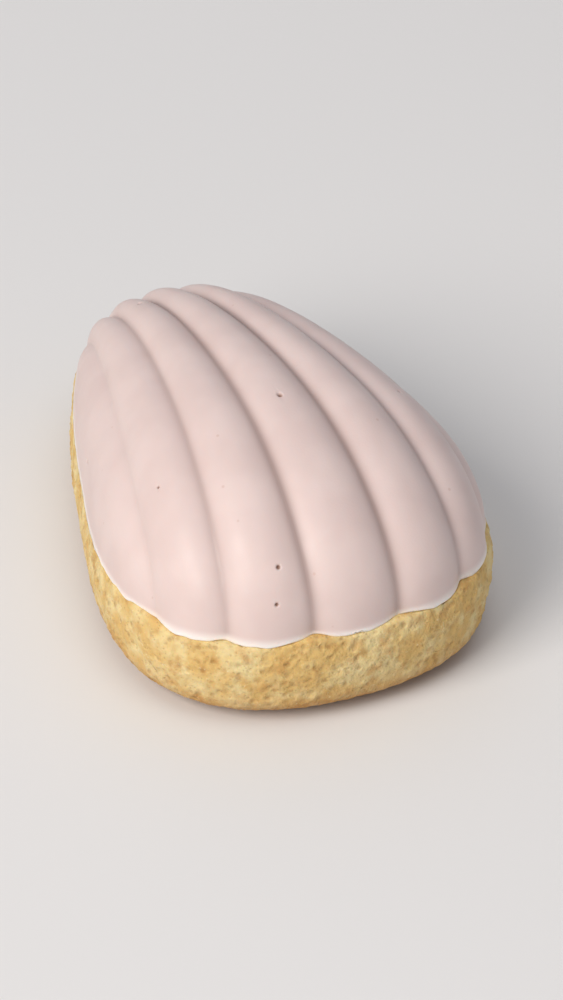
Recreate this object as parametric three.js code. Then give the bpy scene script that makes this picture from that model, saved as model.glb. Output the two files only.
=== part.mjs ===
// One madeleine: a golden sponge cake baked in a fluted shell mould, its ribbed top wrapped in a
// thin coating of tinted white chocolate.
//
// Millimetres. +Z is up and the cake rests on its belly at z = 0. The broad end of the shell points
// along -Y, the narrow end along +Y, and the origin lies under the middle of the cake.

import * as THREE from 'three';

// Driving dimensions.
const LENGTH = 68;
const WIDTH = 45;
const DOME_RISE = 18;
const CAKE_BAND = 12;
const COATING_THICKNESS = 1.4;
const CLEARANCE = 0.3;

// Plan outline: side lines that close in towards the narrow end, rounded off by two end caps. A
// cap's exponent is 2 for an ellipse and more for a blunter end.
const TAPER = 0.45;
const NARROW_CAP_EXPONENT = 3.4;
const BROAD_CAP_EXPONENT = 2.25;

// Dome: where its crest stands along the cake, -1 being the broad end, and how full its slopes to
// either end and its cross section are.
const CREST_AT = -0.22;
const NARROW_SLOPE_EXPONENT = 1.8;
const BROAD_SLOPE_EXPONENT = 2.1;
const CROSS_SECTION_EXPONENT = 2.15;

// Grooves, mirrored to both sides. A place across the dome is 0 on the crest and 1 on the rim.
const GROOVES = [
  { at: 0.12, depth: 1.4 },
  { at: 0.36, depth: 1.25 },
  { at: 0.6, depth: 0.9 },
];
const BAND_ROUNDNESS = 2.2;
const SIDE_BAND_SHOULDER = 0.14;
const INNER_RELIEF = 0.6;

// Share of the grooves' depth lost at either rim, and over what part of the cake it fades.
const NARROW_FADE = { loss: 0.6, reach: 0.32 };
const BROAD_FADE = { loss: 0.35, reach: 0.3 };

// Ribs: how far the outermost of them spread over either end, and how late they bow to the sides.
const NARROW_SPREAD = 0.93;
const BROAD_SPREAD = 0.985;
const SIDE_BOW_EXPONENT = 8;

// Rim of the coating: slow waves along the edge that die out a little way up the dome.
const RIM_WAVES = [
  { turns: 3, height: 0.16, phase: 0.4 },
  { turns: 7, height: 0.13, phase: 2.1 },
  { turns: 16, height: 0.09, phase: 4.4 },
];
const RIM_WAVE_REACH = 3;

// Belly: the rounded lower edge of the sponge, its flat middle and the slight swell of its side.
const EDGE_HEIGHT = 5;
const FLAT_FROM = 0.76;
const EDGE_ROUNDNESS = 1.7;
const SIDE_SWELL = 0.45;
const SIDE_RINGS = 4;

// Mesh density: steps across one band, across a side band and along the cake, and how much closer
// together the rows along the cake lie near both rims, 0 being evenly spaced.
const STEPS_PER_BAND = 6;
const STEPS_PER_SIDE_BAND = 10;
const STEPS_ALONG = 24;
const ROW_CROWDING = 0.75;

const HALF_LENGTH = LENGTH / 2;

/** Other coordinate of a point on the unit superellipse of an exponent. */
function partner(coordinate, exponent) {
  return Math.max(0, 1 - Math.abs(coordinate) ** exponent) ** (1 / exponent);
}

/** Half width of an end cap of unit size, v being -1 at the broad tip and 1 at the narrow one. */
function cap(v) {
  return partner(v, v > 0 ? NARROW_CAP_EXPONENT : BROAD_CAP_EXPONENT);
}

/** Widest value of the tapered outline before it is scaled to the cake's width. */
function widestUnscaled() {
  const samples = 400;
  let widest = 0;
  for (let i = 0; i <= samples; i += 1) {
    const v = -i / samples;
    widest = Math.max(widest, (1 - TAPER * v) * cap(v));
  }
  return widest;
}

const SIDE_SCALE = WIDTH / 2 / widestUnscaled();

/** Half width of the side lines at v, before the caps round them off. */
function sideLine(v) {
  return SIDE_SCALE * (1 - TAPER * v);
}

/** Height of the dome along its crest. */
function crestHeight(v) {
  const towardsNarrow = v > CREST_AT;
  const reach = towardsNarrow ? 1 - CREST_AT : 1 + CREST_AT;
  const exponent = towardsNarrow ? NARROW_SLOPE_EXPONENT : BROAD_SLOPE_EXPONENT;
  return DOME_RISE * partner((v - CREST_AT) / reach, exponent);
}

/** Places across the dome, from -1 to 1, with a mesh line in every groove. */
function placesAcross() {
  const edges = [...GROOVES].reverse().map((groove) => -groove.at);
  edges.push(...GROOVES.map((groove) => groove.at));
  const places = [];
  const addSpan = (from, to, steps) => {
    for (let i = 0; i < steps; i += 1) {
      places.push(from + ((to - from) * i) / steps);
    }
  };
  addSpan(-1, edges[0], STEPS_PER_SIDE_BAND);
  for (let i = 1; i < edges.length; i += 1) {
    addSpan(edges[i - 1], edges[i], STEPS_PER_BAND);
  }
  addSpan(edges[edges.length - 1], 1, STEPS_PER_SIDE_BAND);
  places.push(1);
  return places;
}

/**
 * Point of the smooth dome on the rib line at a place across (-1 to 1) and along (0 at the narrow
 * rim, 1 at the broad rim). The height is taken from the rim.
 */
function domePoint(across, along) {
  const spread = Math.sin((Math.abs(across) * Math.PI) / 2);
  const start = Math.acos(partner(NARROW_SPREAD * spread, NARROW_CAP_EXPONENT));
  const end = Math.PI - Math.acos(partner(BROAD_SPREAD * spread, BROAD_CAP_EXPONENT));
  const eased = along - (ROW_CROWDING * Math.sin(2 * Math.PI * along)) / (2 * Math.PI);
  const v = Math.cos(start + (end - start) * eased);
  const share = (Math.cos(start) - v) / (Math.cos(start) - Math.cos(end));
  const straight = spread * (NARROW_SPREAD + (BROAD_SPREAD - NARROW_SPREAD) * share);
  const bow = spread ** SIDE_BOW_EXPONENT;
  const onRim = along === 0 || along === 1 || spread === 1;
  const x = onRim ? cap(v) : straight + bow * (cap(v) - straight);
  const section = onRim ? 0 : partner(x / cap(v), CROSS_SECTION_EXPONENT);
  return new THREE.Vector3(
    Math.sign(across) * sideLine(v) * x,
    HALF_LENGTH * v,
    crestHeight(v) * section,
  );
}

/** Depth of the fluting at a place across the dome, before it fades along the cake. */
function fluting(across) {
  const place = Math.abs(across);
  const last = GROOVES[GROOVES.length - 1];
  if (place >= last.at) {
    const out = Math.min(1, (place - last.at) / SIDE_BAND_SHOULDER);
    return last.depth * (1 - out) ** BAND_ROUNDNESS;
  }
  const inner = [...GROOVES].reverse().find((groove) => groove.at <= place);
  const outer = GROOVES.find((groove) => groove.at > place);
  const from = inner ? inner.at : -outer.at;
  const fromDepth = inner ? inner.depth : outer.depth;
  const f = (place - from) / (outer.at - from);
  const depth = fromDepth + (outer.depth - fromDepth) * f;
  return depth * Math.abs(2 * f - 1) ** BAND_ROUNDNESS;
}

/** Share of the fluting left at a place along: shallower where the ribs crowd and at both rims. */
function flutingFade(along) {
  const narrow = 1 - THREE.MathUtils.smoothstep(along, 0, NARROW_FADE.reach);
  const broad = THREE.MathUtils.smoothstep(along, 1 - BROAD_FADE.reach, 1);
  return (1 - NARROW_FADE.loss * narrow) * (1 - BROAD_FADE.loss * broad);
}

/** Rise or fall of the rim at a plan position. */
function rimWave(x, y) {
  const angle = Math.atan2(x, -y);
  const addWave = (sum, wave) => sum + wave.height * Math.sin(wave.turns * angle + wave.phase);
  return RIM_WAVES.reduce(addWave, 0);
}

const PLACES_ACROSS = placesAcross();
const COLUMNS = PLACES_ACROSS.length;
const ROWS = STEPS_ALONG + 1;

/** Index of a grid vertex from its column across and its row along. */
function at(column, row) {
  return column * ROWS + row;
}

/** Grid indices around the rim, counter-clockwise seen from above. */
function rimLoop() {
  const loop = [];
  for (let row = 0; row < ROWS - 1; row += 1) loop.push(at(0, row));
  for (let column = 0; column < COLUMNS - 1; column += 1) loop.push(at(column, ROWS - 1));
  for (let row = ROWS - 1; row > 0; row -= 1) loop.push(at(COLUMNS - 1, row));
  for (let column = COLUMNS - 1; column > 0; column -= 1) loop.push(at(column, 0));
  return loop;
}

/** Triangles of the grid, facing up. */
function gridTriangles() {
  const triangles = [];
  for (let column = 0; column < COLUMNS - 1; column += 1) {
    for (let row = 0; row < ROWS - 1; row += 1) {
      const a = at(column, row);
      const b = at(column, row + 1);
      const c = at(column + 1, row + 1);
      const d = at(column + 1, row);
      if ((column < COLUMNS / 2) === (row < ROWS / 2)) {
        triangles.push([a, b, c], [a, c, d]);
      } else {
        triangles.push([a, b, d], [b, c, d]);
      }
    }
  }
  return triangles;
}

const GRID_TRIANGLES = gridTriangles();
const RIM = rimLoop();

/** The smooth dome as grid points with their outward normals, which lie flat on the rim. */
function smoothDome() {
  const points = [];
  const relief = [];
  for (const across of PLACES_ACROSS) {
    for (let row = 0; row < ROWS; row += 1) {
      const along = row / STEPS_ALONG;
      points.push(domePoint(across, along));
      relief.push(fluting(across) * flutingFade(along));
    }
  }
  const normals = points.map(() => new THREE.Vector3());
  for (const [a, b, c] of GRID_TRIANGLES) {
    const edge = new THREE.Vector3().subVectors(points[b], points[a]);
    const face = new THREE.Vector3().subVectors(points[c], points[a]);
    const normal = edge.cross(face);
    for (const i of [a, b, c]) normals[i].add(normal);
  }
  RIM.forEach((index, i) => {
    const before = points[RIM[(i + RIM.length - 1) % RIM.length]];
    const after = points[RIM[(i + 1) % RIM.length]];
    normals[index].set(after.y - before.y, before.x - after.x, 0);
  });
  for (const normal of normals) normal.normalize();
  return { points, normals, relief };
}

const DOME = smoothDome();

/**
 * Fluted copy of the dome, inset along its normals, with a share of the grooves' depth. The rim
 * stands at the top of the cake band plus a lift.
 */
function flutedDome(inset, reliefShare, rimLift) {
  return DOME.points.map((point, i) => {
    const sunk = point.clone().addScaledVector(DOME.normals[i], -inset - reliefShare * DOME.relief[i]);
    const fade = Math.exp(-Math.max(0, point.z) / RIM_WAVE_REACH);
    const lift = rimLift * Math.exp(-Math.max(0, point.z) / COATING_THICKNESS);
    sunk.z += CAKE_BAND + lift + fade * rimWave(point.x, point.y);
    return sunk;
  });
}

/** Underside of the sponge on the same grid: flat in the middle, rounded up to its side. */
function belly() {
  return DOME.points.map((point) => {
    const depth = Math.min(1, Math.max(0, point.z) / DOME_RISE / FLAT_FROM);
    return new THREE.Vector3(point.x, point.y, EDGE_HEIGHT * (1 - depth) ** EDGE_ROUNDNESS);
  });
}

/** Rings of the sponge's side from just under the coating to its rounded lower edge. */
function sideRings() {
  const rings = [];
  for (let k = 0; k < SIDE_RINGS; k += 1) {
    const down = k / SIDE_RINGS;
    rings.push(RIM.map((index) => {
      const point = DOME.points[index];
      const top = CAKE_BAND - CLEARANCE + rimWave(point.x, point.y);
      const ring = point.clone();
      ring.addScaledVector(DOME.normals[index], SIDE_SWELL * Math.sin(Math.PI * down));
      ring.z = top + (EDGE_HEIGHT - top) * down;
      return ring;
    }));
  }
  return rings;
}

/** Collects points and triangles of one closed solid. */
class Solid {
  constructor() {
    this.points = [];
    this.triangles = [];
  }

  /** Adds points and returns the index of the first of them. */
  addPoints(points) {
    const first = this.points.length;
    this.points.push(...points);
    return first;
  }

  /** Adds the grid's triangles over points that start at an index, facing up or down. */
  addGrid(first, facesUp) {
    for (const [a, b, c] of GRID_TRIANGLES) {
      const turned = facesUp ? [a, b, c] : [a, c, b];
      this.triangles.push(turned.map((index) => first + index));
    }
  }

  /** Closes the strip between an upper loop and the loop below or outside it. */
  addStrip(upper, lower) {
    for (let i = 0; i < upper.length; i += 1) {
      const j = (i + 1) % upper.length;
      this.triangles.push([upper[i], lower[i], lower[j]], [upper[i], lower[j], upper[j]]);
    }
  }

  /** Mesh of the solid with a node name and a material. */
  toMesh(name, material) {
    const geometry = new THREE.BufferGeometry();
    const positions = this.points.flatMap((point) => point.toArray());
    geometry.setAttribute('position', new THREE.Float32BufferAttribute(positions, 3));
    geometry.setIndex(this.triangles.flat());
    geometry.computeVertexNormals();
    const mesh = new THREE.Mesh(geometry, material);
    mesh.name = name;
    return mesh;
  }
}

/** Thin fluted shell of chocolate over the top of the cake. */
function coating() {
  const solid = new Solid();
  const outer = solid.addPoints(flutedDome(0, 1, 0));
  const inner = solid.addPoints(flutedDome(COATING_THICKNESS, INNER_RELIEF, 0));
  solid.addGrid(outer, true);
  solid.addGrid(inner, false);
  solid.addStrip(RIM.map((i) => outer + i), RIM.map((i) => inner + i));
  const material = new THREE.MeshStandardMaterial({ color: 0xf0d6cf, roughness: 0.38, metalness: 0 });
  return solid.toMesh('coating', material);
}

/** Sponge under the coating, with its bare band, rounded lower edge and flat belly. */
function sponge() {
  const solid = new Solid();
  const inset = COATING_THICKNESS + CLEARANCE;
  const top = solid.addPoints(flutedDome(inset, INNER_RELIEF, -CLEARANCE));
  const bottom = solid.addPoints(belly());
  solid.addGrid(top, true);
  solid.addGrid(bottom, false);
  let upper = RIM.map((i) => top + i);
  for (const ring of sideRings()) {
    const first = solid.addPoints(ring);
    const lower = ring.map((_, i) => first + i);
    solid.addStrip(upper, lower);
    upper = lower;
  }
  solid.addStrip(upper, RIM.map((i) => bottom + i));
  const material = new THREE.MeshStandardMaterial({ color: 0xd9a75c, roughness: 0.9, metalness: 0 });
  return solid.toMesh('sponge', material);
}

const group = new THREE.Group();
group.add(coating(), sponge());

export default group;
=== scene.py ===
"""Looks of one coated madeleine: a tinted white chocolate shell over a golden baked sponge.

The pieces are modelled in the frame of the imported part, in metres. Sizes in the classes of the
cake are in millimetres, which MM turns into metres.
"""

import logging
import math
from collections.abc import Iterator
from contextlib import contextmanager
from dataclasses import dataclass
from enum import Enum

import bpy
import numpy as np
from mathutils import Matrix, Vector


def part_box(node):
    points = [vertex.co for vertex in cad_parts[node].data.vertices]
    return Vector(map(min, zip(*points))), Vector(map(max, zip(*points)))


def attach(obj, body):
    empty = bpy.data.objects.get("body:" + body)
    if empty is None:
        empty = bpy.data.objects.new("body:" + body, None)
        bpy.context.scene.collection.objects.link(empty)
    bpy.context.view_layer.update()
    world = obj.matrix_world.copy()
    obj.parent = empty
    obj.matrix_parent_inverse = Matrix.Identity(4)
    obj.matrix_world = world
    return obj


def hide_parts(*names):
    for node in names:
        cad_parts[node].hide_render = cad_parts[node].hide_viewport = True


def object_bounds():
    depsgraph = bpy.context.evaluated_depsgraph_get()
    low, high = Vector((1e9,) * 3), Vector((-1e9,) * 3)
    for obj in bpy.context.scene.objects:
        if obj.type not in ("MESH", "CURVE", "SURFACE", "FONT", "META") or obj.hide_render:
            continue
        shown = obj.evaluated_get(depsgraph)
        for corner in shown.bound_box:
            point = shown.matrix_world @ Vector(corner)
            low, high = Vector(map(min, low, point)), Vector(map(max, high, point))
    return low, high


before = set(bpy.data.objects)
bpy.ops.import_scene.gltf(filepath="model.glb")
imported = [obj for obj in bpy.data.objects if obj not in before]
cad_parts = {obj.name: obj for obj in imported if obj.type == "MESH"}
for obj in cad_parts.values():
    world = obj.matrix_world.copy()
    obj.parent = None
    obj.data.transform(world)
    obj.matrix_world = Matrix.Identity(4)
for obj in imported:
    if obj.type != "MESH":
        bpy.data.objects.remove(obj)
CAD_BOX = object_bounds()

MM = 0.001
LOG = logging.getLogger("madeleine")

# Counts as nothing, and keeps a divisor from being zero.
TINY = 1e-9
# Places tried for the widest part of the outline.
PROBES = 401
# Levels that vertex weights are rounded to.
WEIGHT_LEVELS = 16
# Middle of a soft noise, and the span that holds nearly all of it.
NOISE_MIDDLE = 0.5
NOISE_SPAN = (0.3, 0.7)

# Short names for types.
Array = np.ndarray
Piece = bpy.types.Object
Tree = bpy.types.NodeTree
Socket = bpy.types.NodeSocket
Sockets = dict[str, Socket]


class Part(Enum):
    """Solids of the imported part. Each has a material slot of the same name."""

    COATING = "coating"
    SPONGE = "sponge"


class Element(Enum):
    """What is selected in edit mode, by its name in Blender."""

    VERTEX = "VERT"
    EDGE = "EDGE"
    FACE = "FACE"


# Shape of the shell


def partner(coordinate: Array, exponent: float) -> Array:
    """Other coordinate of a point on the unit superellipse of an exponent."""
    return np.maximum(0.0, 1.0 - np.abs(coordinate) ** exponent) ** (1.0 / exponent)


def smooth_step(value: Array, start: float, end: float) -> Array:
    """0 before start, 1 after end and an even curve between."""
    share = np.clip((value - start) / (end - start), 0.0, 1.0)
    return share * share * (3.0 - 2.0 * share)


def bell(distance: Array, reach: float, power: float = 2.0) -> Array:
    """1 at no distance, falling to about a third at the reach. A higher power squares it off."""
    return np.exp(-((np.abs(distance) / reach) ** power))


def plan_angle(points: Array) -> Array:
    """Angles of points round the cake, from the broad tip, in radians."""
    return np.arctan2(points[:, 0], -points[:, 1])


@dataclass(frozen=True)
class Groove:
    """A groove of the shell, mirrored to both sides of the crest.

    Args:
        at: place across the dome, 0 on the crest and 1 on the rim.
        depth: depth in the middle of the cake, in millimetres.
    """

    at: float
    depth: float


@dataclass(frozen=True)
class Wave:
    """A wave round the rim.

    Args:
        turns: number of waves round the cake.
        height: rise and fall, in millimetres.
        phase: where it starts, in radians.
        swells: how often it swells and fades round the cake, 0 for an even wave.
    """

    turns: int
    height: float
    phase: float
    swells: int = 0

    def lift(self, angle: Array) -> Array:
        """Rise of the rim at plan angles from the broad tip, in millimetres."""
        swell = np.sin(self.swells * angle + self.phase) if self.swells else 1.0
        return self.height * np.sin(self.turns * angle + self.phase) * swell


@dataclass(frozen=True)
class Chip:
    """A small bite out of the rim.

    Args:
        angle: plan angle from the broad tip, in degrees.
        width, height: half its width and its height, in millimetres.
        squareness: exponent of its outline, more being squarer.
    """

    angle: float
    width: float
    height: float
    squareness: float = 4.0

    def lift(self, angle: Array, radius: Array) -> Array:
        """Rise of the rim at plan angles and distances from the middle, in millimetres."""
        turn = (angle - math.radians(self.angle) + math.pi) % (2 * math.pi) - math.pi
        return self.height * bell(turn * radius, self.width, self.squareness)


@dataclass(frozen=True)
class ShellForm:
    """Mould form of the cake: its outline, dome and fluting. Lengths are in millimetres.

    Along the cake, v runs from -1 at the broad tip to 1 at the narrow tip.

    Args:
        length, width: size over the coating.
        rise, band: heights of the crest over the rim and of the rim over the floor.
        taper: how much the side lines close in towards the narrow end.
        narrow_cap, broad_cap: exponents of the ends, 2 being an ellipse and more blunter.
        crest_at: place of the highest point along the cake.
        narrow_slope, broad_slope: exponents of the crest line's two halves.
        cross_section: exponent of the dome's cross section.
        narrow_spread, broad_spread: how far the outermost ribs spread over either end.
        side_bow: how late the ribs bow out to the sides.
        row_crowding: how much closer the rows lie near both rims.
        grooves: grooves from the crest outwards.
        rib_roundness: exponent of the ribs' cross section, more being flatter.
        side_shoulder: how far the last groove's outer wall reaches across the dome.
        groove_fillet: half width of the round bottom of a groove, across the dome.
        narrow_loss, broad_loss: share of the grooves' depth lost at either rim.
        narrow_reach, broad_reach: over what part of the cake it is lost.
        rim_waves, rim_wave_reach: slow waves of the rim, and how far up they are felt.
        groove_notch: rise of the rim in a groove, as a share of its depth.
        chips: bites out of the rim.
        notch_reach: how far up the notches and chips are felt.
    """

    length: float
    width: float
    rise: float
    band: float = 12.0
    taper: float = 0.45
    narrow_cap: float = 3.4
    broad_cap: float = 2.25
    crest_at: float = -0.22
    narrow_slope: float = 1.8
    broad_slope: float = 2.1
    cross_section: float = 2.15
    narrow_spread: float = 0.93
    broad_spread: float = 0.985
    side_bow: float = 8.0
    row_crowding: float = 0.75
    grooves: tuple[Groove, ...] = (Groove(0.12, 1.4), Groove(0.36, 1.25), Groove(0.6, 0.9))
    rib_roundness: float = 2.2
    side_shoulder: float = 0.14
    groove_fillet: float = 0.007
    narrow_loss: float = 0.6
    narrow_reach: float = 0.32
    broad_loss: float = 0.2
    broad_reach: float = 0.3
    rim_waves: tuple[Wave, ...] = (Wave(3, 0.16, 0.4), Wave(7, 0.13, 2.1), Wave(16, 0.09, 4.4))
    rim_wave_reach: float = 3.0
    groove_notch: float = 0.36
    chips: tuple[Chip, ...] = (Chip(-47.0, 1.7, 0.55), Chip(63.0, 1.2, 0.5), Chip(-158.0, 1.5, 0.5))
    notch_reach: float = 0.8

    def cap(self, v: Array) -> Array:
        """Half width of the unit end caps at v."""
        return np.where(v > 0, partner(v, self.narrow_cap), partner(v, self.broad_cap))

    def side_line(self, v: Array) -> Array:
        """Half width of the tapered side lines, before the caps round them off.

        Args:
            v: places along the cake.

        Returns:
            Half widths in millimetres.
        """
        probe = np.linspace(-1.0, 0.0, PROBES)
        widest = np.max((1 - self.taper * probe) * self.cap(probe))
        return self.width / 2 / widest * (1 - self.taper * v)

    def crest_height(self, v: Array) -> Array:
        """Height of the crest over the rim.

        Args:
            v: places along the cake.

        Returns:
            Heights in millimetres.
        """
        offset = v - self.crest_at
        narrow = partner(offset / (1 - self.crest_at), self.narrow_slope)
        broad = partner(offset / (1 + self.crest_at), self.broad_slope)
        return self.rise * np.where(offset > 0, narrow, broad)

    def dome(self, across: Array, along: Array) -> Array:
        """Points of the smooth dome, with the height taken from the rim.

        Args:
            across: places of the rib lines, -1 to 1 from one side rim to the other.
            along: places on the rib lines, 0 at the narrow rim and 1 at the broad rim.

        Returns:
            One row of x, y and z for each place.
        """
        spread = np.sin(np.abs(across) * math.pi / 2)
        start = np.arccos(partner(self.narrow_spread * spread, self.narrow_cap))
        end = math.pi - np.arccos(partner(self.broad_spread * spread, self.broad_cap))
        eased = along - self.row_crowding * np.sin(2 * math.pi * along) / (2 * math.pi)
        v = np.cos(start + (end - start) * eased)
        share = (np.cos(start) - v) / (np.cos(start) - np.cos(end))
        straight = spread * (self.narrow_spread + (self.broad_spread - self.narrow_spread) * share)
        cap = self.cap(v)
        on_rim = (along <= 0) | (along >= 1) | (np.abs(across) >= 1)
        x = np.where(on_rim, cap, straight + spread**self.side_bow * (cap - straight))
        section = partner(np.minimum(1.0, x / np.maximum(cap, TINY)), self.cross_section)
        height = self.crest_height(v) * np.where(on_rim, 0.0, section)
        return np.stack((np.sign(across) * self.side_line(v) * x, self.length / 2 * v, height), axis=1)

    def fluting(self, across: Array, along: Array) -> Array:
        """Depth of the fluting under the smooth dome.

        Args:
            across: places of the rib lines, -1 to 1.
            along: places on the rib lines, 0 to 1.

        Returns:
            Depths in millimetres.
        """
        place = np.abs(across)
        last = self.grooves[-1]
        past = np.hypot(np.maximum(0.0, place - last.at), self.groove_fillet) / self.side_shoulder
        depth = last.depth * np.maximum(0.0, 1 - past) ** self.rib_roundness
        walls = [Groove(-self.grooves[0].at, self.grooves[0].depth), *self.grooves]
        for inner, outer in zip(walls, walls[1:]):
            gap = outer.at - inner.at
            near = np.maximum(0.0, np.minimum(place - inner.at, outer.at - place))
            full = inner.depth + (outer.depth - inner.depth) * (place - inner.at) / gap
            away = np.hypot(near, self.groove_fillet) / (gap / 2)
            flute = full * np.maximum(0.0, 1 - away) ** self.rib_roundness
            depth = np.where((place >= inner.at) & (place < outer.at), flute, depth)
        return depth * self.fade(along)

    def fade(self, along: Array) -> Array:
        """Share of the fluting's depth that is left near both rims.

        Args:
            along: places on the rib lines, 0 to 1.

        Returns:
            Shares, 1 in the middle of the cake.
        """
        narrow = 1 - smooth_step(along, 0.0, self.narrow_reach)
        broad = smooth_step(along, 1 - self.broad_reach, 1.0)
        return (1 - self.narrow_loss * narrow) * (1 - self.broad_loss * broad)

    def rim_lift(self, smooth: Array, depth: Array) -> Array:
        """Rise and fall of the surface near the rim.

        Args:
            smooth: points of the smooth dome.
            depth: depths of the fluting there.

        Returns:
            Heights in millimetres that die out up the dome.
        """
        angle = plan_angle(smooth)
        waves = sum(wave.lift(angle) for wave in self.rim_waves)
        radius = np.hypot(smooth[:, 0], smooth[:, 1])
        bites = self.groove_notch * depth + sum(chip.lift(angle, radius) for chip in self.chips)
        fade = np.exp(-smooth[:, 2] / self.rim_wave_reach)
        return waves * fade + bites * bell(smooth[:, 2], self.notch_reach)


# Modelling helpers


def select_only(*pieces: Piece) -> None:
    """Selects pieces and nothing else, and makes the first one active.

    Args:
        pieces: the pieces to select.
    """
    bpy.ops.object.select_all(action="DESELECT")
    for piece in pieces:
        piece.select_set(True)
    bpy.context.view_layer.objects.active = pieces[0]


def read(items: bpy.types.bpy_prop_collection, name: str, width: int, kind: type = np.float32) -> Array:
    """Reads a property of vertices, edges or faces.

    Args:
        items: the vertices, edges or faces.
        name: name of the property.
        width: how many numbers it has.
        kind: type of the numbers.

    Returns:
        One row for each item, or one number for each where the width is 1.
    """
    values = np.zeros((len(items), width) if width > 1 else len(items), kind)
    items.foreach_get(name, values.ravel())
    return values


def positions(piece: Piece) -> Array:
    """Positions of a piece's vertices, one row of x, y and z in millimetres for each."""
    return read(piece.data.vertices, "co", 3).astype(float) / MM


def set_positions(piece: Piece, points: Array) -> None:
    """Moves the vertices of a piece to positions in millimetres."""
    piece.data.vertices.foreach_set("co", (points * MM).astype(np.float32).ravel())
    piece.data.update()


def normals(piece: Piece) -> Array:
    """Directions that a piece's vertices face, one unit vector for each."""
    return read(piece.data.vertices, "normal", 3).astype(float)


def dome_normals(piece: Piece, smooth: Array) -> Array:
    """Directions that a dome faces, laid flat on its rim.

    Args:
        piece: the piece, pulled over the dome.
        smooth: its points, with the height taken from the rim.

    Returns:
        One unit vector for each vertex.
    """
    facing = normals(piece)
    facing[smooth[:, 2] < TINY, 2] = 0
    return facing / np.maximum(TINY, np.linalg.norm(facing, axis=1, keepdims=True))


def mark(piece: Piece, name: str, values: Array) -> None:
    """Writes one number for each vertex to a named attribute of a piece."""
    layer = piece.data.attributes.get(name) or piece.data.attributes.new(name, "FLOAT", "POINT")
    layer.data.foreach_set("value", values.astype(np.float32))


def marked(piece: Piece, name: str) -> Array:
    """Values of a named attribute of a piece, one number for each vertex."""
    return read(piece.data.attributes[name].data, "value", 1).astype(float)


def add_grid(name: str, columns: int, rows: int) -> Piece:
    """Adds a flat grid from -1 to 1 both ways as a new piece.

    Args:
        name: name of the piece.
        columns, rows: faces across and along.

    Returns:
        The new piece, at the origin.
    """
    bpy.ops.object.select_all(action="DESELECT")
    bpy.ops.mesh.primitive_grid_add(x_subdivisions=columns, y_subdivisions=rows, size=2)
    piece = bpy.context.active_object
    piece.name = piece.data.name = name
    return piece


def grid_places(piece: Piece) -> tuple[Array, Array]:
    """Places of a flat grid's vertices on the shell: across, -1 to 1, and along, 0 to 1."""
    grid = positions(piece) * MM
    return np.clip(grid[:, 0], -1, 1), np.clip((1 - grid[:, 1]) / 2, 0, 1)


@contextmanager
def editing(piece: Piece, element: Element, picked: Array | None = None) -> Iterator[None]:
    """Opens a piece in edit mode with some of it selected, and closes it after the block.

    Args:
        piece: the piece to edit.
        element: what is selected in it.
        picked: for each edge or face, whether it is selected. Without it nothing is.

    Returns:
        A context, for a with statement.
    """
    select_only(piece)
    bpy.ops.object.mode_set(mode="EDIT")
    bpy.ops.mesh.select_mode(type=element.value)
    bpy.ops.mesh.select_all(action="DESELECT")
    if picked is not None:
        bpy.ops.object.mode_set(mode="OBJECT")
        items = piece.data.edges if element is Element.EDGE else piece.data.polygons
        items.foreach_set("select", picked)
        bpy.ops.object.mode_set(mode="EDIT")
    yield
    bpy.ops.object.mode_set(mode="OBJECT")


def apply_modifiers(piece: Piece) -> None:
    """Applies every modifier of a piece, from first to last, and drops their vertex groups.

    Args:
        piece: the piece.
    """
    select_only(piece)
    for modifier in list(piece.modifiers):
        bpy.ops.object.modifier_apply(modifier=modifier.name)
    piece.vertex_groups.clear()


def weigh(piece: Piece, name: str, weights: Array) -> None:
    """Makes a vertex group.

    Args:
        piece: the piece that gets the group.
        name: name of the group.
        weights: weight of each vertex, from 0 to 1.
    """
    group = piece.vertex_groups.new(name=name)
    levels = np.rint(np.clip(weights, 0, 1) * WEIGHT_LEVELS).astype(int)
    for level in range(1, WEIGHT_LEVELS + 1):
        members = np.nonzero(levels == level)[0].tolist()
        if members:
            group.add(members, level / WEIGHT_LEVELS, "REPLACE")


@dataclass(frozen=True)
class Unevenness:
    """Unevenness of a surface: soft swells, or scattered round pores.

    Args:
        name: name of the pattern.
        size: size of the swells or spacing of the pores, in millimetres.
        height: full swing of the surface, in millimetres.
        pore: radius of a pore as a share of the spacing, 0 for swells.
        layers: layers of finer swells.
    """

    name: str
    size: float
    height: float
    pore: float = 0.0
    layers: int = 2

    def add(self, piece: Piece, group: str = "") -> None:
        """Adds it to a piece as a modifier.

        Args:
            piece: the piece to roughen.
            group: vertex group that limits it, none for the whole piece.
        """
        pattern = bpy.data.textures.new(self.name, "VORONOI" if self.pore else "CLOUDS")
        pattern.noise_scale = self.size * MM
        move = piece.modifiers.new(self.name, "DISPLACE")
        move.texture = pattern
        move.texture_coords = "LOCAL"
        move.strength = self.height * MM
        move.vertex_group = group
        if not self.pore:
            pattern.noise_depth = self.layers
            move.mid_level = NOISE_MIDDLE
            return
        move.mid_level = 1.0
        pattern.use_color_ramp = True
        pattern.color_ramp.interpolation = "EASE"
        bottom, brim = pattern.color_ramp.elements
        bottom.position, bottom.color = 0.0, (0, 0, 0, 1)
        brim.position, brim.color = self.pore, (1, 1, 1, 1)


def finish_piece(piece: Piece, part: Part, material: bpy.types.Material) -> None:
    """Dresses a piece, lets it stand for a solid of the part and sets it on the part's body.

    Args:
        piece: the finished piece.
        part: the solid that it stands for.
        material: what the piece is made of.
    """
    piece.data.materials.append(material)
    select_only(piece)
    bpy.ops.object.shade_smooth()
    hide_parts(part.value)
    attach(piece, "root")


# Finishes

# Sockets of a Mix node for colours.
MIX_SHARE, MIX_UNDER, MIX_OVER, MIX_RESULT = 0, 6, 7, 2
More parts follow.
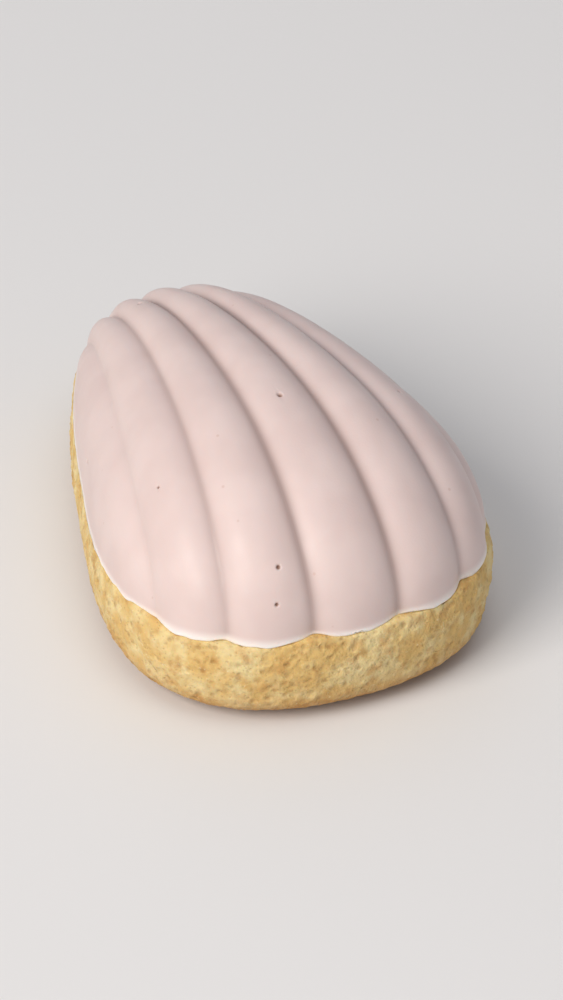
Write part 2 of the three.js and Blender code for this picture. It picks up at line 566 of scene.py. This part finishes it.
# The sRGB curve: a straight foot up to the knee, then a shifted power.
SRGB_FOOT, SRGB_KNEE, SRGB_SHIFT, SRGB_POWER = 12.92, 0.04045, 0.055, 2.4


def colour(code: str) -> tuple[float, float, float, float]:
    """Linear colour of an sRGB hex code.

    Args:
        code: six hex digits.

    Returns:
        Red, green, blue and alpha.
    """
    parts = np.array(list(bytes.fromhex(code))) / 255
    curve = ((parts + SRGB_SHIFT) / (1 + SRGB_SHIFT)) ** SRGB_POWER
    return (*np.where(parts <= SRGB_KNEE, parts / SRGB_FOOT, curve).tolist(), 1.0)


def add_node(
    tree: Tree, kind: str, settings: dict | None = None, links: dict | None = None
) -> bpy.types.Node:
    """Adds a shader node.

    Args:
        tree: the material's node tree.
        kind: Blender's name of the node type.
        settings: values of its properties and sockets, by name or socket number.
        links: outputs that feed its sockets, by name or socket number.

    Returns:
        The new node.
    """
    node = tree.nodes.new(kind)
    for name, value in (settings or {}).items():
        if isinstance(name, int) or name in node.inputs:
            node.inputs[name].default_value = value
        else:
            setattr(node, name, value)
    for name, output in (links or {}).items():
        tree.links.new(output, node.inputs[name])
    return node


class Source(Enum):
    """What a pattern of a finish is read from: a kind of node and one of its outputs.

    Clouds are soft noise, bubbles the distance from the nearest of scattered points, height is
    taken over the floor in metres, and a mark is a vertex attribute of the pattern's name.
    """

    CLOUDS = ("ShaderNodeTexNoise", 0)
    BUBBLES = ("ShaderNodeTexVoronoi", "Distance")
    HEIGHT = ("ShaderNodeSeparateXYZ", "Z")
    MARK = ("ShaderNodeAttribute", "Fac")


@dataclass(frozen=True)
class Pattern:
    """A pattern that places colour or relief.

    Args:
        name: what the tints and reliefs call it.
        source: what it is read from.
        size: size of its clouds or spacing of its bubbles, in millimetres.
        detail: layers of finer clouds.
    """

    name: str
    source: Source
    size: float = 1.0
    detail: float = 0.0


@dataclass(frozen=True)
class Tint:
    """A colour laid over those before it where a pattern goes from start to end.

    Args:
        code: sRGB hex code of the colour.
        pattern: name of the pattern that places it.
        start, end: values of the pattern where it begins to show and where it shows most.
        strength: share of it that shows there.
    """

    code: str
    pattern: str
    start: float = 0.0
    end: float = 1.0
    strength: float = 1.0


@dataclass(frozen=True)
class Relief:
    """Fine relief that is too small for the mesh.

    Args:
        pattern: name of the pattern that shapes it.
        height: its height in millimetres.
        start, end: values of the pattern at its foot and at its top.
    """

    pattern: str
    height: float
    start: float = 0.0
    end: float = 1.0


@dataclass(frozen=True)
class Finish:
    """A finish of a real substance.

    Args:
        name: name of the material.
        base: sRGB hex code of the colour under all tints.
        roughness: roughness of its skin.
        roughness_swing: how much that varies with the pattern "sheen".
        ior: index of refraction.
        glow: share of the light that scatters under the skin.
        glow_reach: how far red, green and blue light scatter, in millimetres.
        warp_size, warp_reach: size and push of the noise that bends its bubbles, in millimetres.
        warp_detail: layers of finer noise in it.
        patterns: what places the rest.
        tints: colours over the base, from first to last.
        reliefs: fine relief, from the coarsest on.
    """

    name: str
    base: str
    roughness: float
    roughness_swing: float = 0.0
    ior: float = 1.45
    glow: float = 0.0
    glow_reach: tuple[float, float, float] = (1.0, 1.0, 1.0)
    warp_size: float = 1.0
    warp_reach: float = 0.0
    warp_detail: float = 2.0
    patterns: tuple[Pattern, ...] = ()
    tints: tuple[Tint, ...] = ()
    reliefs: tuple[Relief, ...] = ()

    def material(self) -> bpy.types.Material:
        """Builds the finish as a material.

        Returns:
            The new material.
        """
        material = bpy.data.materials.new(self.name)
        material.use_nodes = True
        tree = material.node_tree
        tree.nodes.clear()
        values = self.add_patterns(tree)
        settings = {
            "Base Color": colour(self.base),
            "Roughness": self.roughness,
            "IOR": self.ior,
            "Subsurface Weight": self.glow,
            "Subsurface Radius": tuple(reach / self.glow_reach[0] for reach in self.glow_reach),
            "Subsurface Scale": self.glow_reach[0] * MM,
        }
        links = self.add_tints(tree, values) | self.add_reliefs(tree, values)
        if self.roughness_swing:
            half = self.roughness_swing / 2
            span = {"From Min": NOISE_SPAN[0], "From Max": NOISE_SPAN[1]}
            span |= {"To Min": self.roughness - half, "To Max": self.roughness + half}
            skin = add_node(tree, "ShaderNodeMapRange", span, {"Value": values["sheen"]})
            links["Roughness"] = skin.outputs[0]
        shader = add_node(tree, "ShaderNodeBsdfPrincipled", settings, links)
        add_node(tree, "ShaderNodeOutputMaterial", {}, {"Surface": shader.outputs[0]})
        return material

    def add_patterns(self, tree: Tree) -> Sockets:
        """Adds the patterns to the node tree.

        Args:
            tree: the material's node tree.

        Returns:
            The output of each pattern, by its name.
        """
        place = add_node(tree, "ShaderNodeTexCoord").outputs["Object"]
        bent = self.bend(tree, place) if self.warp_reach else place
        values = {}
        for pattern in self.patterns:
            settings = {"Scale": 1 / (pattern.size * MM)}
            links = {"Vector": place}
            match pattern.source:
                case Source.CLOUDS:
                    settings["Detail"] = pattern.detail
                case Source.BUBBLES:
                    links = {"Vector": bent}
                case Source.HEIGHT:
                    settings = {}
                case Source.MARK:
                    settings, links = {"attribute_name": pattern.name}, {}
            kind, output = pattern.source.value
            values[pattern.name] = add_node(tree, kind, settings, links).outputs[output]
        return values

    def bend(self, tree: Tree, place: Socket) -> Socket:
        """Pushes coordinates about, so that bubbles come out uneven.

        Args:
            tree: the material's node tree.
            place: the coordinates.

        Returns:
            The bent coordinates.
        """
        settings = {"Scale": 1 / (self.warp_size * MM), "Detail": self.warp_detail}
        noise = add_node(tree, "ShaderNodeTexNoise", settings, {"Vector": place})
        centring = {"operation": "SUBTRACT", 1: (NOISE_MIDDLE,) * 3}
        centred = add_node(tree, "ShaderNodeVectorMath", centring, {0: noise.outputs["Color"]})
        reach = {"operation": "SCALE", "Scale": self.warp_reach * MM}
        push = add_node(tree, "ShaderNodeVectorMath", reach, {0: centred.outputs[0]})
        links = {0: place, 1: push.outputs[0]}
        return add_node(tree, "ShaderNodeVectorMath", {"operation": "ADD"}, links).outputs[0]

    def add_tints(self, tree: Tree, values: Sockets) -> Sockets:
        """Lays the tints over the base colour.

        Args:
            tree: the material's node tree.
            values: the patterns' outputs.

        Returns:
            The link to the surface's colour, none where there are no tints.
        """
        result = None
        for tint in self.tints:
            span = {"From Min": tint.start, "From Max": tint.end, "To Max": tint.strength}
            span["interpolation_type"] = "SMOOTHSTEP"
            share = add_node(tree, "ShaderNodeMapRange", span, {"Value": values[tint.pattern]})
            settings = {"data_type": "RGBA", MIX_UNDER: colour(self.base)}
            settings[MIX_OVER] = colour(tint.code)
            links = {MIX_SHARE: share.outputs[0]} | ({MIX_UNDER: result} if result else {})
            result = add_node(tree, "ShaderNodeMix", settings, links).outputs[MIX_RESULT]
        return {"Base Color": result} if result else {}

    def add_reliefs(self, tree: Tree, values: Sockets) -> Sockets:
        """Stacks the reliefs on the surface.

        Args:
            tree: the material's node tree.
            values: the patterns' outputs.

        Returns:
            The link to the surface's normal, none where there are no reliefs.
        """
        result = None
        for relief in self.reliefs:
            span = {"From Min": relief.start, "From Max": relief.end}
            height = add_node(tree, "ShaderNodeMapRange", span, {"Value": values[relief.pattern]})
            links = {"Height": height.outputs[0]} | ({"Normal": result} if result else {})
            settings = {"Distance": relief.height * MM}
            result = add_node(tree, "ShaderNodeBump", settings, links).outputs[0]
        return {"Normal": result} if result else {}


# White chocolate tinted rose, set against a smooth mould: a satin skin, faint mottling and cocoa
# butter that lets light in a little. A painted highlight runs along the rim's edge, and painted
# shade darkens the pinholes and grooves. The grain of the real skin is too fine to show, so it is
# drawn at a third of a millimetre.
CHOCOLATE = Finish(
    name="tinted_white_chocolate",
    base="e0cbc5",
    roughness=0.44,
    roughness_swing=0.1,
    glow=0.2,
    glow_reach=(0.7, 0.385, 0.28),
    patterns=(
        Pattern("mottle", Source.CLOUDS, 7.0, 2.0),
        Pattern("speck", Source.BUBBLES, 3.6),
        Pattern("sheen", Source.CLOUDS, 2.2, 3.0),
        Pattern("ripple", Source.CLOUDS, 2.6, 1.0),
        Pattern("skin", Source.CLOUDS, 0.32, 2.0),
        Pattern("painted_groove_shade", Source.MARK),
        Pattern("rim_edge", Source.MARK),
        Pattern("pinhole", Source.MARK),
    ),
    tints=(
        Tint("dbc5bf", "mottle", 0.35, 0.68),
        # Painted shade in the grooves, darkest at the bottom of the deepest ones.
        Tint("866a62", "painted_groove_shade", 0.0, 1.0, 0.86),
        Tint("c39c8a", "speck", 0.07, 0.03, 0.35),
        # Painted highlight along the rim's edge.
        Tint("fbf4ee", "rim_edge"),
        # Painted shade in the pinhole dents.
        Tint("8d6a58", "pinhole"),
    ),
    reliefs=(Relief("ripple", 0.035), Relief("skin", 0.012)),
)

# Butter sponge, baked in a mould: a matt golden crumb with straw patches, toasted spots and burst
# bubbles, browner where the belly took the heat. Painted shade darkens the pits of the bubbles and
# pricks, and pale painted glints stand in for light catching the crumb.
SPONGE = Finish(
    name="baked_butter_sponge",
    base="d9b572",
    roughness=0.72,
    ior=1.4,
    glow=0.22,
    glow_reach=(1.0, 0.5, 0.2),
    warp_size=1.3,
    warp_reach=0.35,
    patterns=(
        Pattern("patch", Source.CLOUDS, 3.6, 3.0),
        Pattern("toast", Source.CLOUDS, 2.1, 4.0),
        Pattern("height", Source.HEIGHT),
        Pattern("bubbles", Source.BUBBLES, 1.25),
        Pattern("pricks", Source.BUBBLES, 0.6),
        Pattern("painted_glints", Source.CLOUDS, 0.5, 2.0),
        Pattern("crumb", Source.CLOUDS, 0.9, 3.0),
        Pattern("grain", Source.CLOUDS, 0.2, 3.0),
    ),
    tints=(
        Tint("e4ce96", "patch", 0.38, 0.66),
        Tint("c29150", "toast", 0.48, 0.72, 0.6),
        Tint("ab7036", "height", 6.0 * MM, 0.2 * MM, 0.75),
        # Painted shade in the pits of the burst bubbles and pricks.
        Tint("9a6b35", "bubbles", 0.34, 0.12, 0.34),
        Tint("9a6b35", "pricks", 0.25, 0.1, 0.3),
        # Painted glints: pale spots that stand in for light catching the crumb.
        Tint("efe0b8", "painted_glints", 0.64, 0.76, 0.45),
    ),
    reliefs=(
        Relief("crumb", 0.24),
        Relief("bubbles", 0.13, 0.08, 0.45),
        Relief("pricks", 0.05, 0.06, 0.42),
        Relief("grain", 0.035),
    ),
)

# Matt studio paper, rolled smooth: an even pale grey with hardly any grain. Its fibres are too
# fine to show, so they are drawn as a grain of a millimetre and a half.
PAPER = Finish(
    name="studio_paper",
    base="e4e2e0",
    roughness=0.9,
    patterns=(Pattern("grain", Source.CLOUDS, 1.5, 2.0),),
    reliefs=(Relief("grain", 0.01),),
)


# Cake


@dataclass(frozen=True)
class Pinhole:
    """A burst air bubble in the chocolate.

    Args:
        across: place across the dome, -1 to 1.
        along: place along the dome, 0 at the narrow rim and 1 at the broad rim.
        radius: its radius in millimetres.
    """

    across: float
    along: float
    radius: float


@dataclass
class ChocolateCoating:
    """Thin fluted shell of chocolate over the top of the cake. Sizes are in millimetres.

    Args:
        form: the mould form.
        columns, rows: faces across and along.
        thickness: thickness of the shell.
        rim_drop, drop_reach: how far the rim hangs lower than the form, and over what height.
        lip, lip_reach: how far the rim stands out, and over what height.
        ragged: small fast waves of the rim.
        edge_round, edge_steps: round of the rim's edges and the faces across it.
        sharp_angle: angle of a sharp edge, in degrees.
        rim_mark: least value of the mark "rim_edge" on the rim itself.
        weld: distance within which vertices become one.
        rim_highlight_height: height of the painted highlight along the rim.
        flow: unevenness of the poured chocolate.
        rib_drift: how far the grooves wander across the dome.
        wander_along, wander_across: how fast they wander, in radians over the cake.
        groove_shade_narrowness: exponent that narrows the painted shade in a groove.
        pinholes: burst bubbles.
        hole_depth, hole_wall: depth of a pinhole in pinhole radii, and exponent of its wall.
        patch_reach, patch_cuts: reach of the finer mesh round it in pinhole radii, and its cuts.
    """

    form: ShellForm
    columns: int = 300
    rows: int = 132
    thickness: float = 1.4
    rim_drop: float = 0.12
    drop_reach: float = 1.5
    lip: float = 0.16
    lip_reach: float = 0.55
    ragged: tuple[Wave, ...] = (Wave(29, 0.1, 0.8, 3), Wave(53, 0.08, 2.0), Wave(97, 0.05, 4.1, 5))
    edge_round: float = 0.32
    edge_steps: int = 3
    sharp_angle: float = 55.0
    rim_mark: float = 0.999
    weld: float = 0.002
    rim_highlight_height: float = 0.6
    flow: Unevenness = Unevenness("chocolate_flow", 6.5, 0.07)
    rib_drift: float = 0.006
    wander_along: float = 5.2
    wander_across: float = 3.1
    groove_shade_narrowness: float = 3.0
    pinholes: tuple[Pinhole, ...] = (
        Pinhole(-0.23, 0.36, 0.28),
        Pinhole(-0.19, 0.79, 0.26),
        Pinhole(-0.21, 0.89, 0.23),
        Pinhole(-0.01, 0.56, 0.3),
        Pinhole(0.47, 0.62, 0.2),
        Pinhole(-0.5, 0.68, 0.18),
        Pinhole(0.8, 0.4, 0.22),
        Pinhole(-0.8, 0.55, 0.24),
    )
    hole_depth: float = 1.3
    hole_wall: float = 3.0
    patch_reach: float = 3.0
    patch_cuts: int = 4

    def build(self) -> Piece:
        """Models and dresses the coating.

        Returns:
            The finished piece.
        """
        piece = add_grid("chocolate_coating", self.columns, self.rows)
        self.mould(piece)
        for hole in self.pinholes:
            self.prick(piece, hole)
        self.thicken(piece)
        self.round_edges(piece)
        finish_piece(piece, Part.COATING, CHOCOLATE.material())
        return piece

    def mould(self, piece: Piece) -> None:
        """Pulls a flat grid over the dome, sinks the grooves and trims the rim.

        Args:
            piece: the flat grid.
        """
        across, along = grid_places(piece)
        smooth = self.form.dome(across, along)
        set_positions(piece, smooth)
        facing = dome_normals(piece, smooth)
        wander = np.sin(self.wander_along * along + self.wander_across * across)
        drifted = across + self.rib_drift * wander * (1 - np.abs(across))
        depth = self.form.fluting(drifted, along)
        set_positions(piece, self.trim_rim(smooth - facing * depth[:, None], smooth, facing, depth))
        fade = self.form.fade(along)
        share = depth / fade / max(groove.depth for groove in self.form.grooves)
        # Mark of the painted shade in the grooves, darkest at the bottom of the deepest ones.
        mark(piece, "painted_groove_shade", fade * np.clip(share, 0, 1) ** self.groove_shade_narrowness)
        # Mark of the rim's edge, which also places the painted highlight along it.
        mark(piece, "rim_edge", bell(smooth[:, 2], self.rim_highlight_height))
        mark(piece, "pinhole", np.zeros(len(smooth)))

    def trim_rim(self, points: Array, smooth: Array, facing: Array, depth: Array) -> Array:
        """Gives the rim its lip, notches, chips and small waves.

        Args:
            points: points of the fluted dome.
            smooth: points of the smooth dome.
            facing: directions that it faces.
            depth: depths of the fluting.

        Returns:
            The trimmed points, at their height over the floor.
        """
        height = smooth[:, 2]
        near = bell(height, self.lip_reach)
        angle = plan_angle(smooth)
        ragged = sum(wave.lift(angle) for wave in self.ragged)
        lift = self.form.rim_lift(smooth, depth) + near * ragged
        lift -= self.rim_drop * np.exp(-height / self.drop_reach)
        trimmed = points + facing * (near * self.lip)[:, None]
        trimmed[:, 2] += self.form.band + lift
        return trimmed

    def prick(self, piece: Piece, hole: Pinhole) -> None:
        """Refines the sheet round a pinhole and dents it.

        Args:
            piece: the moulded sheet.
            hole: the pinhole.
        """
        aim = self.form.dome(np.array([hole.across]), np.array([hole.along]))[0]
        aim[2] += self.form.band
        middles = read(piece.data.polygons, "center", 3) / MM
        middle = middles[np.argmin(np.linalg.norm(middles - aim, axis=1))]
        patch = np.linalg.norm(middles - middle, axis=1) < self.patch_reach * hole.radius
        with editing(piece, Element.FACE, patch):
            bpy.ops.mesh.subdivide(number_cuts=self.patch_cuts)
        points = positions(piece)
        dent = bell(np.linalg.norm(points - middle, axis=1), hole.radius, self.hole_wall)
        depth = dent * hole.radius * self.hole_depth
        set_positions(piece, points - normals(piece) * depth[:, None])
        # Mark of the painted shade in the pinhole.
        mark(piece, "pinhole", np.maximum(marked(piece, "pinhole"), dent))

    def thicken(self, piece: Piece) -> None:
        """Lets the surface swell and sink a little and makes the sheet a closed shell.

        Args:
            piece: the moulded sheet.
        """
        self.flow.add(piece)
        wall = piece.modifiers.new("wall", "SOLIDIFY")
        wall.thickness = self.thickness * MM
        wall.offset = -1
        apply_modifiers(piece)

    def round_edges(self, piece: Piece) -> None:
        """Rounds both edges of the rim.

        Args:
            piece: the closed shell.
        """
        with editing(piece, Element.EDGE):
            bpy.ops.mesh.edges_select_sharp(sharpness=math.radians(self.sharp_angle))
        edges = piece.data.edges
        ends = read(edges, "vertices", 2, np.int32)
        on_rim = (marked(piece, "rim_edge") > self.rim_mark)[ends].all(axis=1)
        with editing(piece, Element.EDGE, read(edges, "select", 1, bool) & on_rim):
            offset = self.edge_round * MM
            bpy.ops.mesh.bevel(offset_type="ABSOLUTE", offset=offset, segments=self.edge_steps)
            bpy.ops.mesh.select_all(action="SELECT")
            bpy.ops.mesh.remove_doubles(threshold=self.weld * MM)


@dataclass
class SpongeCake:
    """Butter sponge with a bare band and a rounded, flat belly. Sizes are in millimetres.

    Args:
        form: the mould form.
        columns, rows: faces of the crown across and along.
        inset: how far the crown lies inside the coating's outer face.
        ledge_gap: gap between the ledge and the coating's rim.
        overhang: how far the top of the side stands out under the coating.
        edge_height, edge_roundness: height and exponent of the rounded lower edge.
        flat_from: share of the dome's height over which the belly is flat.
        side_swell: how far the side swells out in the middle of its height.
        side_rings: rings of faces down the side.
        weld: distance within which vertices become one.
        voxel: size of the even faces of the crumb.
        kept_share: share of the faces kept where the coating hides the crumb.
        hidden_fade, bare_fade: heights over the rim between which the skin gets hidden and smooth.
        belly_share, belly_fade: share of the crumb on the belly, and heights between which it grows.
        crumb: unevenness of the baked skin, from coarse to fine, with its burst bubbles last.
    """

    form: ShellForm
    columns: int = 120
    rows: int = 60
    inset: float = 1.95
    ledge_gap: float = 0.12
    overhang: float = 0.12
    edge_height: float = 5.0
    edge_roundness: float = 1.7
    flat_from: float = 0.76
    side_swell: float = 0.45
    side_rings: int = 16
    weld: float = 0.02
    voxel: float = 0.28
    kept_share: float = 0.72
    hidden_fade: tuple[float, float] = (0.8, 1.6)
    bare_fade: tuple[float, float] = (-0.3, 0.6)
    belly_share: float = 0.35
    belly_fade: tuple[float, float] = (0.5, 4.0)
    crumb: tuple[Unevenness, ...] = (
        Unevenness("baked_swell", 4.5, 0.45),
        Unevenness("open_crumb", 1.4, 0.34),
        Unevenness("fine_crumb", 0.7, 0.22),
        Unevenness("burst_bubbles", 2.3, 0.3, pore=0.24),
    )

    def build(self) -> Piece:
        """Models and dresses the sponge.

        Returns:
            The finished piece.
        """
        piece = add_grid("sponge_cake", self.columns, self.rows)
        places = grid_places(piece)
        smooth, depth = self.form.dome(*places), self.form.fluting(*places)
        self.crown(piece, smooth, depth)
        self.skirt(piece, smooth, depth)
        self.join(piece, self.belly(smooth))
        self.remesh(piece)
        self.roughen(piece)
        finish_piece(piece, Part.SPONGE, SPONGE.material())
        return piece

    def crown(self, piece: Piece, smooth: Array, depth: Array) -> None:
        """Pulls a flat grid over the top of the sponge, which the coating hides.

        Args:
            piece: the flat grid.
            smooth: points of the smooth dome.
            depth: depths of the fluting.
        """
        set_positions(piece, smooth)
        points = smooth - dome_normals(piece, smooth) * (self.inset + depth)[:, None]
        points[:, 2] += self.ledge(smooth, depth)
        set_positions(piece, points)

    def ledge(self, smooth: Array, depth: Array) -> Array:
        """Height of the ledge under the coating's rim, carried on up the dome."""
        return self.form.band - self.ledge_gap + self.form.rim_lift(smooth, depth)

    def skirt(self, piece: Piece, smooth: Array, depth: Array) -> None:
        """Extrudes the edge of the crown out to the ledge and down the side in rings.

        Args:
            piece: the crown.
            smooth: points of the smooth dome.
            depth: depths of the fluting.
        """
        with editing(piece, Element.EDGE):
            bpy.ops.mesh.select_non_manifold()
            for _ in range(self.side_rings + 1):
                bpy.ops.mesh.extrude_edges_move()
        index = np.arange(len(smooth)).reshape(self.rows + 1, self.columns + 1)
        loop = np.concatenate((index[0, :-1], index[:-1, -1], index[-1, :0:-1], index[:0:-1, 0]))
        outline = smooth[loop]
        tangent = np.roll(outline, -1, axis=0) - np.roll(outline, 1, axis=0)
        outward = np.stack((tangent[:, 1], -tangent[:, 0]), axis=1)
        outward /= np.linalg.norm(outward, axis=1, keepdims=True)
        points = positions(piece)
        added = np.arange(len(smooth), len(points))
        source = np.argmin(np.linalg.norm(points[added, None] - points[loop], axis=2), axis=1)
        down = (added - len(smooth)) // len(loop) / self.side_rings
        swell = self.side_swell * np.sin(math.pi * down) + self.overhang * (1 - down)
        ledge = self.ledge(outline, depth[loop])[source]
        points[added, :2] = outline[source, :2] + outward[source] * swell[:, None]
        points[added, 2] = ledge + (self.edge_height - ledge) * down
        set_positions(piece, points)

    def belly(self, smooth: Array) -> Piece:
        """Models the underside: flat in the middle and rounded up to the side.

        Args:
            smooth: points of the smooth dome.

        Returns:
            An open sheet with the same edge as the skirt.
        """
        piece = add_grid("belly", self.columns, self.rows)
        depth = np.clip(smooth[:, 2] / self.form.rise / self.flat_from, 0, 1)
        height = self.edge_height * (1 - depth) ** self.edge_roundness
        set_positions(piece, np.column_stack((smooth[:, :2], height)))
        with editing(piece, Element.FACE):
            bpy.ops.mesh.select_all(action="SELECT")
            bpy.ops.mesh.flip_normals()
        return piece

    def join(self, piece: Piece, belly: Piece) -> None:
        """Joins the belly to the skirt and welds their common edge.

        Args:
            piece: the crown with its skirt.
            belly: the underside, which becomes part of the piece.
        """
        select_only(piece, belly)
        bpy.ops.object.join()
        with editing(piece, Element.VERTEX):
            bpy.ops.mesh.select_all(action="SELECT")
            bpy.ops.mesh.remove_doubles(threshold=self.weld * MM)
            bpy.ops.mesh.normals_make_consistent(inside=False)

    def remesh(self, piece: Piece) -> None:
        """Remeshes the sponge evenly and thins it where the coating hides it.

        Args:
            piece: the closed sponge.
        """
        even = piece.modifiers.new("even", "REMESH")
        even.mode = "VOXEL"
        even.voxel_size = self.voxel * MM
        apply_modifiers(piece)
        over_rim = positions(piece)[:, 2] - self.form.band
        weigh(piece, "hidden", smooth_step(over_rim, *self.hidden_fade))
        fewer = piece.modifiers.new("fewer", "DECIMATE")
        fewer.ratio = self.kept_share
        fewer.vertex_group = "hidden"
        apply_modifiers(piece)

    def roughen(self, piece: Piece) -> None:
        """Gives the bare skin its crumb and burst bubbles, less on the belly.

        Args:
            piece: the even sponge.
        """
        height = positions(piece)[:, 2]
        bare = 1 - smooth_step(height - self.form.band, *self.bare_fade)
        side = smooth_step(height, *self.belly_fade)
        weigh(piece, "skin", bare * (self.belly_share + (1 - self.belly_share) * side))
        for layer in self.crumb:
            layer.add(piece, "skin")
        apply_modifiers(piece)
        points = positions(piece)
        points[:, 2] = np.maximum(points[:, 2], 0)
        set_positions(piece, points)


# Studio


@dataclass(frozen=True)
class Lamp:
    """A square soft studio lamp that faces the cake.

    Args:
        name: name of the lamp.
        azimuth, elevation: where it stands, in degrees.
        distance, size: its distance and side length, in metres.
        power: its power in watts.
        tone: sRGB hex code of its light.
    """

    name: str
    azimuth: float
    elevation: float
    distance: float
    size: float
    power: float
    tone: str


@dataclass
class Studio:
    """Pale floor, soft lamps and the camera. Lengths are in metres and angles in degrees.

    Args:
        target: middle of the cake, which the lamps face.
        aim_ahead: how far from it towards the broad end the camera aims.
        camera_distance, camera_azimuth, camera_elevation: where the camera stands.
        view_height: height of the view at the cake.
        sensor: width of the camera's sensor, in millimetres.
        floor_size, floor_gap: side length of the floor and how far it lies under the belly.
        lamps: the lamps.
        sky, sky_strength: sRGB hex code and strength of the room's even light.
    """

    target: Vector
    aim_ahead: float = 0.0105
    camera_distance: float = 1.0
    camera_azimuth: float = -22.0
    camera_elevation: float = 36.0
    view_height: float = 0.116
    sensor: float = 36.0
    floor_size: float = 6.0
    floor_gap: float = 0.00002
    lamps: tuple[Lamp, ...] = (
        Lamp("window", -64.0, 38.0, 1.3, 0.75, 14.0, "fffaf5"),
        Lamp("ceiling", 0.0, 72.0, 1.4, 0.8, 3.2, "f8f9ff"),
        Lamp("backlight", 165.0, 38.0, 1.4, 0.8, 1.0, "f2f4ff"),
    )
    sky: str = "e9ecf2"
    sky_strength: float = 0.39

    def build(self) -> None:
        """Sets up the floor, the lamps, the sky and the camera."""
        self.lay_floor()
        for lamp in self.lamps:
            self.hang(lamp)
        self.light_sky()
        self.place_camera()

    def stand(
        self, data: bpy.types.ID, aim: Vector, azimuth: float, elevation: float, distance: float
    ) -> bpy.types.Object:
        """Stands a lamp or camera off a point and turns it to face the point.

        Args:
            data: the lamp or camera, which lends its name.
            aim: the point.
            azimuth: angle round the point, 0 being on the side of the cake's broad end.
            elevation, distance: angle over the floor and distance from the point.

        Returns:
            The new lamp or camera object.
        """
        turn, rise = math.radians(azimuth), math.radians(elevation)
        flat = math.cos(rise)
        offset = Vector((math.sin(turn) * flat, -math.cos(turn) * flat, math.sin(rise))) * distance
        thing = bpy.data.objects.new(data.name, data)
        thing.location = aim + offset
        thing.rotation_mode = "QUATERNION"
        thing.rotation_quaternion = (-offset).to_track_quat("-Z", "Y")
        bpy.context.scene.collection.objects.link(thing)
        return thing

    def lay_floor(self) -> None:
        """Adds the floor, which is stage and not part of the cake."""
        bpy.ops.object.select_all(action="DESELECT")
        place = (0.0, 0.0, -self.floor_gap)
        bpy.ops.mesh.primitive_plane_add(size=self.floor_size, location=place)
        floor = bpy.context.active_object
        floor.name = "floor"
        floor.data.materials.append(PAPER.material())

    def hang(self, lamp: Lamp) -> None:
        """Adds a lamp.

        Args:
            lamp: the lamp to add.
        """
        data = bpy.data.lights.new(lamp.name, "AREA")
        data.size, data.energy = lamp.size, lamp.power
        data.color = colour(lamp.tone)[:3]
        self.stand(data, self.target, lamp.azimuth, lamp.elevation, lamp.distance)

    def light_sky(self) -> None:
        """Gives the room its even light."""
        world = bpy.data.worlds.new("room")
        world.use_nodes = True
        world.node_tree.nodes.clear()
        settings = {"Color": colour(self.sky), "Strength": self.sky_strength}
        glow = add_node(world.node_tree, "ShaderNodeBackground", settings)
        add_node(world.node_tree, "ShaderNodeOutputWorld", {}, {"Surface": glow.outputs[0]})
        bpy.context.scene.world = world
        bpy.context.scene.view_settings.view_transform = "Standard"

    def place_camera(self) -> None:
        """Places a long lens that looks down on the broad end of the cake."""
        data = bpy.data.cameras.new("camera")
        data.sensor_width = self.sensor
        data.lens = self.sensor * self.camera_distance / self.view_height
        aim = self.target - Vector((0, self.aim_ahead, 0))
        place = (self.camera_azimuth, self.camera_elevation, self.camera_distance)
        bpy.context.scene.camera = self.stand(data, aim, *place)


def shell_form() -> ShellForm:
    """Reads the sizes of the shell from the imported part.

    Returns:
        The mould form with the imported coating's length, width and height.
    """
    low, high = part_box(Part.COATING.value)
    size = (high - low) / MM
    return ShellForm(length=size.y, width=size.x, rise=high.z / MM - ShellForm.band)


def main() -> None:
    """Builds the coating, the sponge and the studio in order."""
    logging.basicConfig(level=logging.INFO, format="%(message)s")
    form = shell_form()
    for maker in (ChocolateCoating(form), SpongeCake(form)):
        piece = maker.build()
        LOG.info("built %s with %d faces", piece.name, len(piece.data.polygons))
    low, high = CAD_BOX
    Studio(target=(low + high) / 2).build()
    LOG.info("the studio is ready")


if __name__ == "__main__":
    main()
